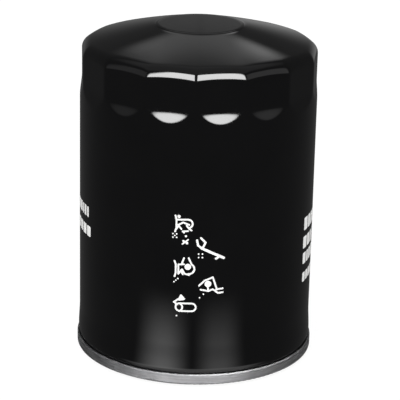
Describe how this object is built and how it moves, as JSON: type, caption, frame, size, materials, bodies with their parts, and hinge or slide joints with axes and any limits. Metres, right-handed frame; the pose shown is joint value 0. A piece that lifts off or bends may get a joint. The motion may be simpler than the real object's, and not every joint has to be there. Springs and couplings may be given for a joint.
{
  "type": "oil filter",
  "caption": "Spin-on oil filter: gloss black can with wrench flats and a rolled seam, over a threaded base plate, gasket, valves and a pleated paper cartridge.",
  "frame": {"origin": "on the filter's axis, at the sealing face of the base gasket", "axes": "+Z along the axis, from the gasket to the closed end; -Y towards the printed front, with one ridge of the wrench flats 1.4 degrees off it"},
  "size_m": [0.096, 0.096, 0.1343],
  "materials": {
    "gloss_black_paint": "gloss",
    "tinned_steel": "satin",
    "plate_steel": "satin",
    "black_rubber": "matte",
    "orange_silicone": "satin",
    "sealant": "matte",
    "cap_steel": "satin",
    "tube_steel": "satin",
    "spring_steel": "satin",
    "potting": "matte",
    "filter_paper": "matte"
  },
  "bodies": {
    "shell": {"filter_can": "gloss_black_paint", "seaming_lid": "tinned_steel", "seam_sealing_compound": "sealant", "base_plate": "plate_steel", "base_gasket": "black_rubber", "element_seal": "black_rubber", "element_spring": "spring_steel"},
    "cartridge": {"lower_end_cap": "cap_steel", "lower_potting": "potting", "pleated_media": "filter_paper", "media_seam_clip": "cap_steel", "center_tube": "tube_steel", "upper_potting": "potting", "upper_end_cap": "cap_steel", "bypass_seat_gasket": "black_rubber", "bypass_valve_spring": "spring_steel", "bypass_valve_cage": "cap_steel", "spring_seat": "cap_steel"},
    "bypass_poppet": {"bypass_valve_disc": "cap_steel"},
    "anti_drain_flap": {"anti_drain_valve": "orange_silicone"}
  },
  "joints": [
    {"name": "bypass_valve_open", "type": "slide", "parent": "cartridge", "child": "bypass_poppet", "axis": [0, 0, -1], "range_m": [0, 0.003], "stiffness_N_per_m": 2500, "springref_m": -0.008, "deforming": ["bypass_valve_spring"]},
    {"name": "anti_drain_lift", "type": "slide", "parent": "shell", "child": "anti_drain_flap", "axis": [0, 0, 1], "range_m": [0, 0.0015], "stiffness_N_per_m": 400, "springref_m": -0.001, "deforming": ["anti_drain_valve"]},
    {"name": "cartridge_float", "type": "slide", "parent": "shell", "child": "cartridge", "axis": [0, 0, 1], "range_m": [0, 0.0015], "stiffness_N_per_m": 5000, "springref_m": -0.006, "deforming": ["element_spring"]}
  ]
}
